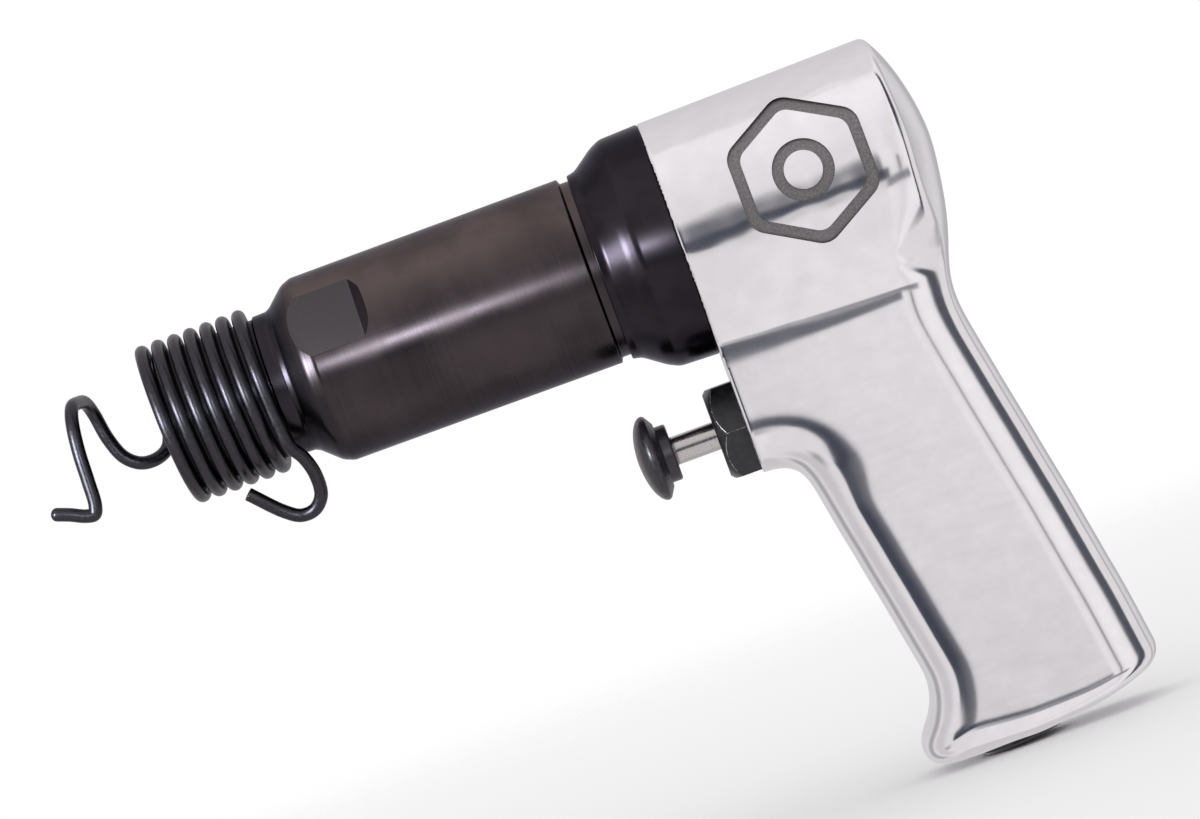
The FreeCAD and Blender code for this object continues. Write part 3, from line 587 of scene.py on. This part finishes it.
def surface_net(field, low, high, cell):
    """A quad mesh of the zero surface of a field that is even in y."""
    nx, nz = (int(math.ceil((high[i] - low[i]) / cell)) + 1 for i in (0, 2))
    ny = int(math.ceil(high[1] / cell)) + 1
    xs = (low[0] + cell * np.arange(nx)).astype(np.float32)
    zs = (low[2] + cell * np.arange(nz)).astype(np.float32)
    ys = (cell * (np.arange(ny) + 0.5)).astype(np.float32)
    half = field(xs[:, None, None], ys[None, :, None], zs[None, None, :]).astype(np.float32)
    values = np.concatenate([half[:, ::-1, :], half], axis=1)
    ys = np.concatenate([-ys[::-1], ys])
    inside = values < 0
    shape = tuple(n - 1 for n in values.shape)
    corners = [(i, j, k) for i in (0, 1) for j in (0, 1) for k in (0, 1)]

    def part(array, i, j, k):
        return array[i:i + shape[0], j:j + shape[1], k:k + shape[2]]

    total = sum(part(inside, *c).astype(np.int8) for c in corners)
    active = (total > 0) & (total < 8)
    index = -np.ones(shape, np.int64)
    cells = np.argwhere(active)
    index[active] = np.arange(len(cells))
    sums = np.zeros((len(cells), 3))
    hits = np.zeros(len(cells))
    ci, cj, ck = cells.T
    for a in corners:
        for axis in range(3):
            if a[axis]:
                continue
            b = list(a)
            b[axis] = 1
            va = values[ci + a[0], cj + a[1], ck + a[2]]
            vb = values[ci + b[0], cj + b[1], ck + b[2]]
            cross = (va < 0) != (vb < 0)
            t = np.where(cross, va / np.where(cross, va - vb, 1.0), 0.0)
            for n in range(3):
                sums[:, n] += np.where(cross, a[n] + (t if n == axis else 0.0), 0.0)
            hits += cross
    offset = sums / hits[:, None]
    points = np.stack([xs[ci] + offset[:, 0] * cell, ys[cj] + offset[:, 1] * cell,
                       zs[ck] + offset[:, 2] * cell], axis=1)
    quads = []
    for axis in range(3):
        b = [0, 0, 0]
        b[axis] = 1
        first = inside[:inside.shape[0] - b[0], :inside.shape[1] - b[1], :inside.shape[2] - b[2]]
        second = inside[b[0]:, b[1]:, b[2]:]
        edge = np.argwhere(first != second)
        starts = first[tuple(edge.T)]
        p, q = [n for n in range(3) if n != axis]
        ok = (edge[:, p] > 0) & (edge[:, q] > 0)
        ok &= (edge[:, p] < shape[p]) & (edge[:, q] < shape[q])
        edge, starts = edge[ok], starts[ok]
        ring = []
        for dp, dq in ((1, 1), (0, 1), (0, 0), (1, 0)):
            at = edge.copy()
            at[:, p] -= dp
            at[:, q] -= dq
            ring.append(index[tuple(at.T)])
        ring = np.stack(ring, axis=1)
        flip = starts if axis != 1 else ~starts
        ring[~flip] = ring[~flip][:, ::-1]
        quads.append(ring)
    return points, np.concatenate(quads)


def to_surface(field, points, rounds):
    eps = 0.03
    for _ in range(rounds):
        x, y, z = points.T
        value = field(x, y, z)
        grad = np.stack([
            field(x + eps, y, z) - field(x - eps, y, z),
            field(x, y + eps, z) - field(x, y - eps, z),
            field(x, y, z + eps) - field(x, y, z - eps)], axis=1) / (2 * eps)
        size = np.maximum((grad ** 2).sum(axis=1), 0.05)
        step = np.clip(value / size, -0.5, 0.5)
        points = points - grad * step[:, None]
    return points


def relax(points, quads, share):
    total = np.zeros_like(points)
    count = np.zeros(len(points))
    for a, b in ((0, 1), (1, 2), (2, 3), (3, 0)):
        for s, t in ((a, b), (b, a)):
            for n in range(3):
                total[:, n] += np.bincount(quads[:, s], points[quads[:, t], n], len(points))
            count += np.bincount(quads[:, s], minlength=len(points))
    return points + share * (total / count[:, None] - points)


def build_handle():
    cell = 0.55
    points, quads = surface_net(casting, (119.5, 0, -142.0), (198.0, 32.0, 31.5), cell)
    points = to_surface(casting, points, 2)
    for _ in range(3):
        points = relax(points, quads, 0.5)
        points = to_surface(casting, points, 1)
    points = to_surface(casting, points, 1)
    piece = mesh_piece("handle_casting", points, quads.tolist(), [MATS["polished"]],
                       "polished_aluminium", ["handle"])
    return piece


handle = build_handle()

# --------------------------------------------------------------- barrel
SHANK_R, PISTON_R = 5.12, 9.525
NOSE_FRONT, NOSE_R, COLLAR_RECESS_R = -7.5, 16.95, 13.0
barrel_profile = rounded([
    (0.0, SHANK_R), (0.0, COLLAR_RECESS_R), (NOSE_FRONT, COLLAR_RECESS_R), (NOSE_FRONT, NOSE_R),
    (18.3, NOSE_R), (18.7, 17.5), (22.0, 17.6), (23.2, 18.2), (27.6, 22.2), (30.2, 23.2),
    (98.4, 23.33), (98.9, 22.1), (116.0, 22.1), (116.0, 20.5), (145.0, 20.5), (145.0, PISTON_R),
    (36.0, PISTON_R), (36.0, SHANK_R),
], [0.4, 0.3, 0.3, 0.8, 0.2, 0.2, 1.2, 2.0, 4.5, 3.0, 0.35, 0.3, 0.2, 0.2, 0.4, 0.3, 0.3, 0.3],
    closed=True)
points, faces = lathe(barrel_profile, 224, closed=True)
barrel = mesh_piece("barrel_body", points, faces, [MATS["barrel"]], "black_steel", ["barrel"],
                    sharp=30)


def flat_cutter(sign):
    """A milling cut across the barrel with a sloped rear wall."""
    lean = math.radians(30.0) + (math.pi if sign < 0 else 0.0)
    out = np.array([0.0, -math.cos(lean), math.sin(lean)])
    wide = np.array([0.0, math.sin(lean), math.cos(lean)])
    level = 21.6
    side = [(25.5, level), (43.6, level), (45.9, level + 1.2), (47.8, level + 6), (20.0, level + 6),
            (20.0, level + 3.0)]
    side = rounded(side, [0.0, 0.8, 0.8, 0.0, 0.0, 0.0], closed=True)
    verts = []
    for w in (-30.0, 30.0):
        verts.extend(np.array([x, 0, 0]) + out * height + wide * w for x, height in side)
    n = len(side)
    faces = [tuple(range(n)), tuple(reversed(range(n, 2 * n)))]
    faces += [(i, (i + 1) % n, n + (i + 1) % n, n + i) for i in range(n)]
    piece = mesh_piece("flat_cutter", verts, faces, [MATS["milled"], MATS["deflector"]], None)
    # painted shade: the sloped rear wall of the cut takes the darker satin steel, the floor of the
    # cut the lighter milled steel
    for face in piece.data.polygons:
        face.material_index = 1 if face.center.x > 0.0438 and abs(face.normal.x) > 0.02 else 0
    return piece


cut(barrel, flat_cutter(1))
cut(barrel, flat_cutter(-1))
shade(barrel, 25)

# --------------------------------------------------------------- deflector
deflector_profile = rounded([
    (101.0, 22.7), (101.0, 23.3), (103.2, 23.75), (108.4, 27.5), (111.2, 28.85), (120.98, 29.2),
    (120.98, 20.6), (116.0, 20.6), (116.0, 26.0), (110.5, 26.0), (104.0, 22.8),
], [0.2, 0.35, 4.0, 12.0, 5.0, 0.4, 0.2, 0.2, 0.2, 1.0, 1.0], steps=8, closed=True)
points, faces = lathe(deflector_profile, 224, closed=True)
mesh_piece("deflector_body", points, faces, [MATS["deflector"]], "black_steel",
           ["exhaust_deflector"], sharp=35)

# --------------------------------------------------------------- retainer spring
COIL_R, PITCH, COIL_X, WIRE_R = 18.7, 4.1, -9.2, 1.65


def coil_point(turn):
    a = 2 * math.pi * turn
    return (COIL_X + PITCH * turn, -COIL_R * math.sin(a), COIL_R * math.cos(a))


ARCH = [(-40.4, -13.0, -10.9), (-37.5, -13.1, -12.0), (-34.0, -13.1, -13.6), (-31.9, -13.1, -13.9),
        (-31.0, -13.2, -12.0), (-30.6, -13.3, -6.0), (-30.3, -13.2, 1.3), (-29.6, -11.8, 8.0),
        (-28.9, -7.5, 11.7), (-28.0, 0.0, 12.5), (-27.0, 7.5, 12.0), (-26.4, 11.6, 8.8),
        (-25.4, 13.0, 2.1), (-23.3, 13.6, -3.4), (-19.9, 14.2, -6.2), (-15.6, 15.6, -6.4),
        (-12.4, 17.2, -4.2)]
TAIL = [(16.9, -17.0, -9.4), (17.4, -16.0, -14.3), (19.6, -13.9, -18.4), (20.7, -11.8, -23.2),
        (20.1, -9.9, -28.2), (17.4, -8.3, -30.9), (13.8, -7.4, -31.1), (10.4, -7.6, -28.9),
        (3.9, -9.0, -22.1)]
turns = np.linspace(-0.17, 6.31, 62)
wire_path = spline(ARCH + [coil_point(t) for t in turns] + TAIL, 12)
points, faces = tube(wire_path, WIRE_R, 28, round_start=True, round_end=False)
mesh_piece("retainer_wire", points, faces, [MATS["wire"]], "spring_wire", ["retainer_spring"],
           sharp=50)

# --------------------------------------------------------------- throttle
dome = [(93.6 + 4.3 * (1.0 - math.sqrt(1.0 - (r / 10.62) ** 2)), r)
        for r in (10.55 * math.sin(k * math.pi / 36.0) for k in range(18))]
button_profile = dome + rounded([
    (97.9, 10.58), (98.5, 10.2), (99.9, 7.9), (99.9, 7.0), (102.6, 7.0), (102.6, 3.5),
    (97.1, 3.5), (97.1, 0.0),
], [0.2, 0.4, 0.2, 0.3, 0.6, 0.2, 0.2, 0], steps=6)
points, faces = lathe(button_profile, 128, axis_z=THROTTLE_Z)
mesh_piece("button_cap", points, faces, [MATS["plastic"]], "button_plastic",
           ["throttle_button"], body="throttle", sharp=40)
stem_profile = rounded([
    (97.12, 0.0), (97.12, 3.48), (146.0, 3.48), (146.0, 3.0), (148.54, 3.0), (148.54, 6.6),
    (150.5, 6.6), (150.5, 2.6), (152.5, 2.2), (152.5, 0.0),
], [0, 0.2, 0.1, 0.1, 0.1, 0.2, 0.3, 0.2, 0.3, 0], steps=3)
points, faces = lathe(stem_profile, 96, axis_z=THROTTLE_Z)
mesh_piece("stem_rod", points, faces, [MATS["steel"]], "bright_steel", ["throttle_stem"],
           body="throttle", sharp=40)

# The spring behind the poppet, a fixed coil here; on the tool it shortens as the button goes in.
SPRING_START, SPRING_SPAN, SPRING_TURNS, SPRING_R, SPRING_WIRE_R = 151.0, 14.0, 6.0, 4.6, 0.45
turns = np.linspace(0.0, SPRING_TURNS, int(SPRING_TURNS) * 24 + 1)
spring_path = [(SPRING_START + SPRING_SPAN * t / SPRING_TURNS,
                SPRING_R * math.cos(2 * math.pi * t),
                THROTTLE_Z + SPRING_R * math.sin(2 * math.pi * t)) for t in turns]
points, faces = tube(spring_path, SPRING_WIRE_R, 12)
coil = mesh_piece("throttle_coil", points, faces, [MATS["steel"]], "bright_steel",
                  ["throttle_spring"], sharp=50)
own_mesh(coil)


def bushing_hexagon():
    """The bushing's hexagon with its turned chamfer, and the shank behind it."""
    flats, front, back = 22.2, 113.5, 120.98
    corner = flats / math.sqrt(3.0)
    verts, faces = [], []
    for x in (front, back):
        for k in range(6):
            a = k * math.pi / 3
            verts.append((x, corner * math.cos(a), THROTTLE_Z + corner * math.sin(a)))
    faces = [tuple(range(6)), tuple(reversed(range(6, 12)))]
    faces += [(k, (k + 1) % 6, 6 + (k + 1) % 6, 6 + k) for k in range(6)]
    piece = mesh_piece("bushing_hexagon", verts, faces, [MATS["worn"]], "worn_black_steel",
                       ["throttle_bushing"])
    piece.data.materials.append(MATS["edge"])
    cone = [(front, 0.0), (front, 10.2), (front + 3.0, 13.3), (back + 1.0, 13.3), (back + 1.0, 0.0)]
    points, faces = lathe(cone, 144, axis_z=THROTTLE_Z)
    cut(piece, mesh_piece("cone_tool", points, faces, [MATS["worn"]], None), "INTERSECT")
    hole = [(front - 1.0, 0.0), (front - 1.0, 4.9), (front + 0.9, 3.55), (back + 1.0, 3.55),
            (back + 1.0, 0.0)]
    points, faces = lathe(hole, 96, axis_z=THROTTLE_Z)
    cut(piece, mesh_piece("hole_tool", points, faces, [MATS["worn"]], None))
    apply_modifier(piece, "BEVEL", width=0.42 * MM, segments=3, limit_method="ANGLE",
                   angle_limit=math.radians(28), material=1)
    shade(piece, 35)
    shank = rounded([
        (121.0, 3.55), (121.0, 8.3), (123.0, 8.3), (123.0, 8.7), (130.0, 8.7), (131.0, 7.0),
        (139.0, 7.0), (140.0, 8.7), (144.8, 8.7), (146.0, 6.2), (146.0, 5.2), (128.0, 5.2),
        (127.0, 3.55),
    ], 0.15, steps=2, closed=True)
    points, faces = lathe(shank, 96, closed=True, axis_z=THROTTLE_Z)
    mesh_piece("bushing_shank", points, faces, [MATS["worn"]], "worn_black_steel",
               ["throttle_bushing"], sharp=35)


bushing_hexagon()


# --------------------------------------------------------------- engraved mark
# A plain nut outline sunk into the near side of the head.
MARK_X, MARK_Z, MARK_DEPTH = 154.0, 5.0, 0.6


def hexagon_reach(angle, flats_half, corner_r):
    """Distance from the centre to a hexagon with rounded corners."""
    sixth = math.pi / 6
    fold = abs((angle + sixth) % (2 * sixth) - sixth)
    straight = (flats_half - corner_r) * math.tan(sixth)
    if flats_half * math.tan(fold) <= straight:
        return flats_half / math.cos(fold)
    heart = (flats_half - corner_r) / math.cos(sixth)
    off = sixth - fold
    return heart * math.cos(off) + math.sqrt(corner_r ** 2 - (heart * math.sin(off)) ** 2)


def sunk_band(outer, inner, count=180, levels=5):
    """The tool for a band: its floor follows the head at a constant depth."""
    verts, faces = [], []
    for k in range(count):
        a = 2 * math.pi * k / count
        for level in range(levels):
            reach = inner(a) + (outer(a) - inner(a)) * level / (levels - 1)
            x, z = MARK_X + reach * math.cos(a), MARK_Z + reach * math.sin(a)
            radius = HEAD_FRONT_R + HEAD_TAPER * (x - FACE_X) - MARK_DEPTH
            verts.append((x, -math.sqrt(radius * radius - z * z), z))
            verts.append((x, -34.0, z))

    def at(k, level, top):
        return ((k % count) * levels + level) * 2 + top

    for k in range(count):
        for level in range(levels - 1):
            faces.append((at(k, level, 0), at(k, level + 1, 0), at(k + 1, level + 1, 0),
                          at(k + 1, level, 0)))
            faces.append((at(k, level, 1), at(k + 1, level, 1), at(k + 1, level + 1, 1),
                          at(k, level + 1, 1)))
        for level in (0, levels - 1):
            faces.append((at(k, level, 0), at(k + 1, level, 0), at(k + 1, level, 1),
                          at(k, level, 1)))
    return mesh_piece("mark_tool", verts, faces, [MATS["etched"]], None)


cut(handle, sunk_band(lambda a: hexagon_reach(a, 16.3, 5.0),
                      lambda a: hexagon_reach(a, 13.4, 3.6)))
cut(handle, sunk_band(lambda a: 7.4, lambda a: 4.6, 96, 4))
shade(handle, 40)

# --------------------------------------------------------------- other CAD nodes
LOOKS = {
    "black_steel": "barrel", "worn_black_steel": "worn", "spring_wire": "wire",
    "hardened_steel": "ground", "bright_steel": "steel", "seal_rubber": "rubber",
    "button_plastic": "plastic", "screen_brass": "brass", "polished_aluminium": "polished",
}
SLOT_OF = {part["node"]: part["material_slot"] for part in frame["record"]["subparts"]}
for node, piece in frame["nodes"].items():
    look = MATS[LOOKS[SLOT_OF[node]]]
    for holder in piece.material_slots:
        holder.material = look

# --------------------------------------------------------------- studio


def build_world():
    world = bpy.data.worlds.new("studio")
    bpy.context.scene.world = world
    world.use_nodes = True
    tree = Nodes(world.node_tree)
    coords = tree.add("ShaderNodeTexCoord")
    split = tree.add("ShaderNodeSeparateXYZ")
    tree.tree.links.new(coords.outputs["Generated"], split.inputs[0])
    dx, dy, dz = split.outputs
    azimuth = tree.math("MULTIPLY", tree.math("ARCTAN2", dx, tree.math("MULTIPLY", dy, -1.0)),
                        180.0 / math.pi)
    height = tree.math("MULTIPLY", tree.math("ARCSINE", dz), 180.0 / math.pi)

    def window(value, centre, half, soft):
        off = tree.math("ABSOLUTE", tree.math("SUBTRACT", value, centre))
        return tree.span(off, half - soft, half + soft, 1.0, 0.0)

    def edge(value, low, high):
        return tree.span(value, low, high)

    def both_of(a, b):
        return tree.math("MULTIPLY", a, b)

    # the dark side of the room, left of the camera: darkest low down, fading up and to the right
    left, floor_edge = edge(azimuth, -34.0, -29.0), edge(height, -15.5, -12.5)
    fade = both_of(edge(azimuth, 2.4, 0.9), tree.span(azimuth, -15.0, 1.0, 1.0, 0.85, False))
    upper = both_of(both_of(left, fade), both_of(floor_edge, edge(height, 15.0, 3.0)))
    lower = both_of(both_of(left, edge(azimuth, 9.5, 6.0)),
                    both_of(floor_edge, edge(height, -4.0, -5.6)))
    masks = [(upper, 0.95), (lower, 0.94)]
    # azimuth, half width, softness; height, half width, softness; share removed
    STRIPS = [
        (23.0, 1.6, 1.0, -5.0, 8.0, 3.0, 0.85),
        (61.0, 7.5, 2.0, 0.0, 60.0, 12.0, 0.96),
        (65.0, 20.0, 4.0, 50.0, 34.0, 8.0, 0.95),
        (20.0, 18.0, 4.0, -18.0, 4.0, 2.0, 0.75),
        (-80.0, 22.0, 14.0, 0.0, 70.0, 14.0, 0.22),
        (165.0, 9.0, 5.0, -2.0, 12.0, 4.0, 0.30),
        (127.0, 11.0, 9.0, 0.0, 50.0, 15.0, 0.42),
        (-127.0, 12.0, 8.0, 0.0, 60.0, 15.0, 0.50),
        (-52.0, 9.0, 7.0, -30.0, 9.0, 7.0, 0.50),
    ]
    for az, az_half, az_soft, up, up_half, up_soft, share in STRIPS:
        masks.append((both_of(window(azimuth, az, az_half, az_soft),
                              window(height, up, up_half, up_soft)), share))
    open_share = 1.0
    for mask, share in masks:
        open_share = both_of(tree.math("MULTIPLY_ADD", mask, -share, 1.0), open_share)
    behind = edge(tree.math("ABSOLUTE", azimuth), 120.0, 168.0)
    level = tree.math("MULTIPLY_ADD", behind, -0.16, 0.83)
    level = tree.math("ADD", level, tree.span(height, 12.0, 80.0, 0.0, 0.12))
    level = tree.math("MULTIPLY_ADD", window(azimuth, 41.0, 12.0, 5.0), 0.14, level)
    level = tree.math("MULTIPLY_ADD", window(azimuth, 9.0, 8.0, 3.0), 0.08, level)
    colour = tree.mix(open_share, rgb(0.055, 0.065, 0.095), rgb(1.0, 0.975, 1.0))
    path = tree.add("ShaderNodeLightPath")
    seen = tree.add("ShaderNodeBackground")
    seen.inputs["Color"].default_value = rgb(1.0, 1.0, 1.0)
    seen.inputs["Strength"].default_value = 1.0
    lit = tree.add("ShaderNodeBackground")
    tree.plug(lit.inputs["Color"], colour)
    tree.plug(lit.inputs["Strength"], level)
    both = tree.add("ShaderNodeMixShader")
    tree.plug(both.inputs[0], tree.math("MAXIMUM", path.outputs["Is Camera Ray"],
                                        path.outputs["Is Diffuse Ray"]))
    tree.tree.links.new(lit.outputs[0], both.inputs[1])
    tree.tree.links.new(seen.outputs[0], both.inputs[2])
    out = tree.add("ShaderNodeOutputWorld")
    tree.tree.links.new(both.outputs[0], out.inputs["Surface"])


build_world()
black_parts = bpy.data.collections.new("black_parts")
for part_name in ("barrel_body", "deflector_body", "retainer_wire", "button_cap",
                  "bushing_hexagon"):
    black_parts.objects.link(bpy.data.objects[part_name])


def build_lamp(name, place, aim, wide, high, power):
    """A small soft box that only shows as a glint on the black parts."""
    data = bpy.data.lights.new(name, "AREA")
    data.shape = "RECTANGLE"
    data.size, data.size_y = wide, high
    data.energy = power
    data.color = (0.84, 0.90, 1.0)
    lamp = bpy.data.objects.new(name, data)
    way = Vector(aim) - Vector(place)
    turn = way.to_track_quat("-Z", "Y").to_matrix().to_4x4()
    lamp.matrix_world = Matrix.Translation(place) @ turn
    lamp.visible_camera = False
    lamp.visible_diffuse = False
    lamp.light_linking.receiver_collection = black_parts
    bpy.context.scene.collection.objects.link(lamp)


build_lamp("barrel_lamp", (0.030, -0.7, 0.050), (0.030, 0.0, 0.050), 0.115, 0.045, 1.2)
build_lamp("side_lamp", (-0.23, -0.21, 0.045), (0.08, 0.0, 0.0), 0.11, 0.09, 1.6)


def build_camera():
    azimuth, height, roll = math.radians(1.0), math.radians(1.0), math.radians(20.1)
    target = Vector((0.0894, 0.0, -0.032))
    distance = 1.32
    away = Vector((math.sin(azimuth) * math.cos(height), -math.cos(azimuth) * math.cos(height),
                   math.sin(height)))
    right = Vector((0, 0, 1)).cross(away).normalized()
    up = away.cross(right)
    turn = Matrix.Rotation(-roll, 3, away)
    right, up = turn @ right, turn @ up
    rig = Matrix((right, up, away)).transposed().to_4x4()
    rig.translation = target + away * distance
    data = bpy.data.cameras.new("camera")
    data.sensor_width = 36.0
    data.lens = 165.0
    data.clip_start = 0.01
    data.clip_end = 50.0
    camera = bpy.data.objects.new("camera", data)
    camera.matrix_world = rig
    bpy.context.scene.collection.objects.link(camera)
    bpy.context.scene.camera = camera


build_camera()


def build_floor():
    mesh = bpy.data.meshes.new("floor")
    size, low = 0.9, cad_box[0][2] - 0.0002
    mesh.from_pydata([(-size + 0.08, -size, low), (size + 0.08, -size, low),
                      (size + 0.08, size, low), (-size + 0.08, size, low)], [], [(0, 1, 2, 3)])
    floor = bpy.data.objects.new("floor", mesh)
    bpy.context.scene.collection.objects.link(floor)
    mat = bpy.data.materials.new("floor")
    mat.use_nodes = True
    tree = Nodes(mat.node_tree)
    coords = tree.add("ShaderNodeTexCoord")
    length = tree.add("ShaderNodeVectorMath", operation="DISTANCE")
    tree.tree.links.new(coords.outputs["Object"], length.inputs[0])
    length.inputs[1].default_value = (0.09, 0.0, low)
    fade = tree.span(length.outputs["Value"], 0.25, 0.8)
    pale = tree.add("ShaderNodeBsdfDiffuse")
    pale.inputs["Color"].default_value = rgb(0.93, 0.93, 0.93)
    clear = tree.add("ShaderNodeBsdfTransparent")
    both = tree.add("ShaderNodeMixShader")
    tree.plug(both.inputs[0], fade)
    tree.tree.links.new(pale.outputs[0], both.inputs[1])
    tree.tree.links.new(clear.outputs[0], both.inputs[2])
    path = tree.add("ShaderNodeLightPath")
    mirrored = tree.add("ShaderNodeMixShader")
    tree.plug(mirrored.inputs[0], path.outputs["Is Glossy Ray"])
    tree.tree.links.new(both.outputs[0], mirrored.inputs[1])
    tree.tree.links.new(clear.outputs[0], mirrored.inputs[2])
    out = tree.add("ShaderNodeOutputMaterial")
    tree.tree.links.new(mirrored.outputs[0], out.inputs["Surface"])
    mesh.materials.append(mat)


build_floor()
bpy.context.scene.view_settings.view_transform = "Standard"
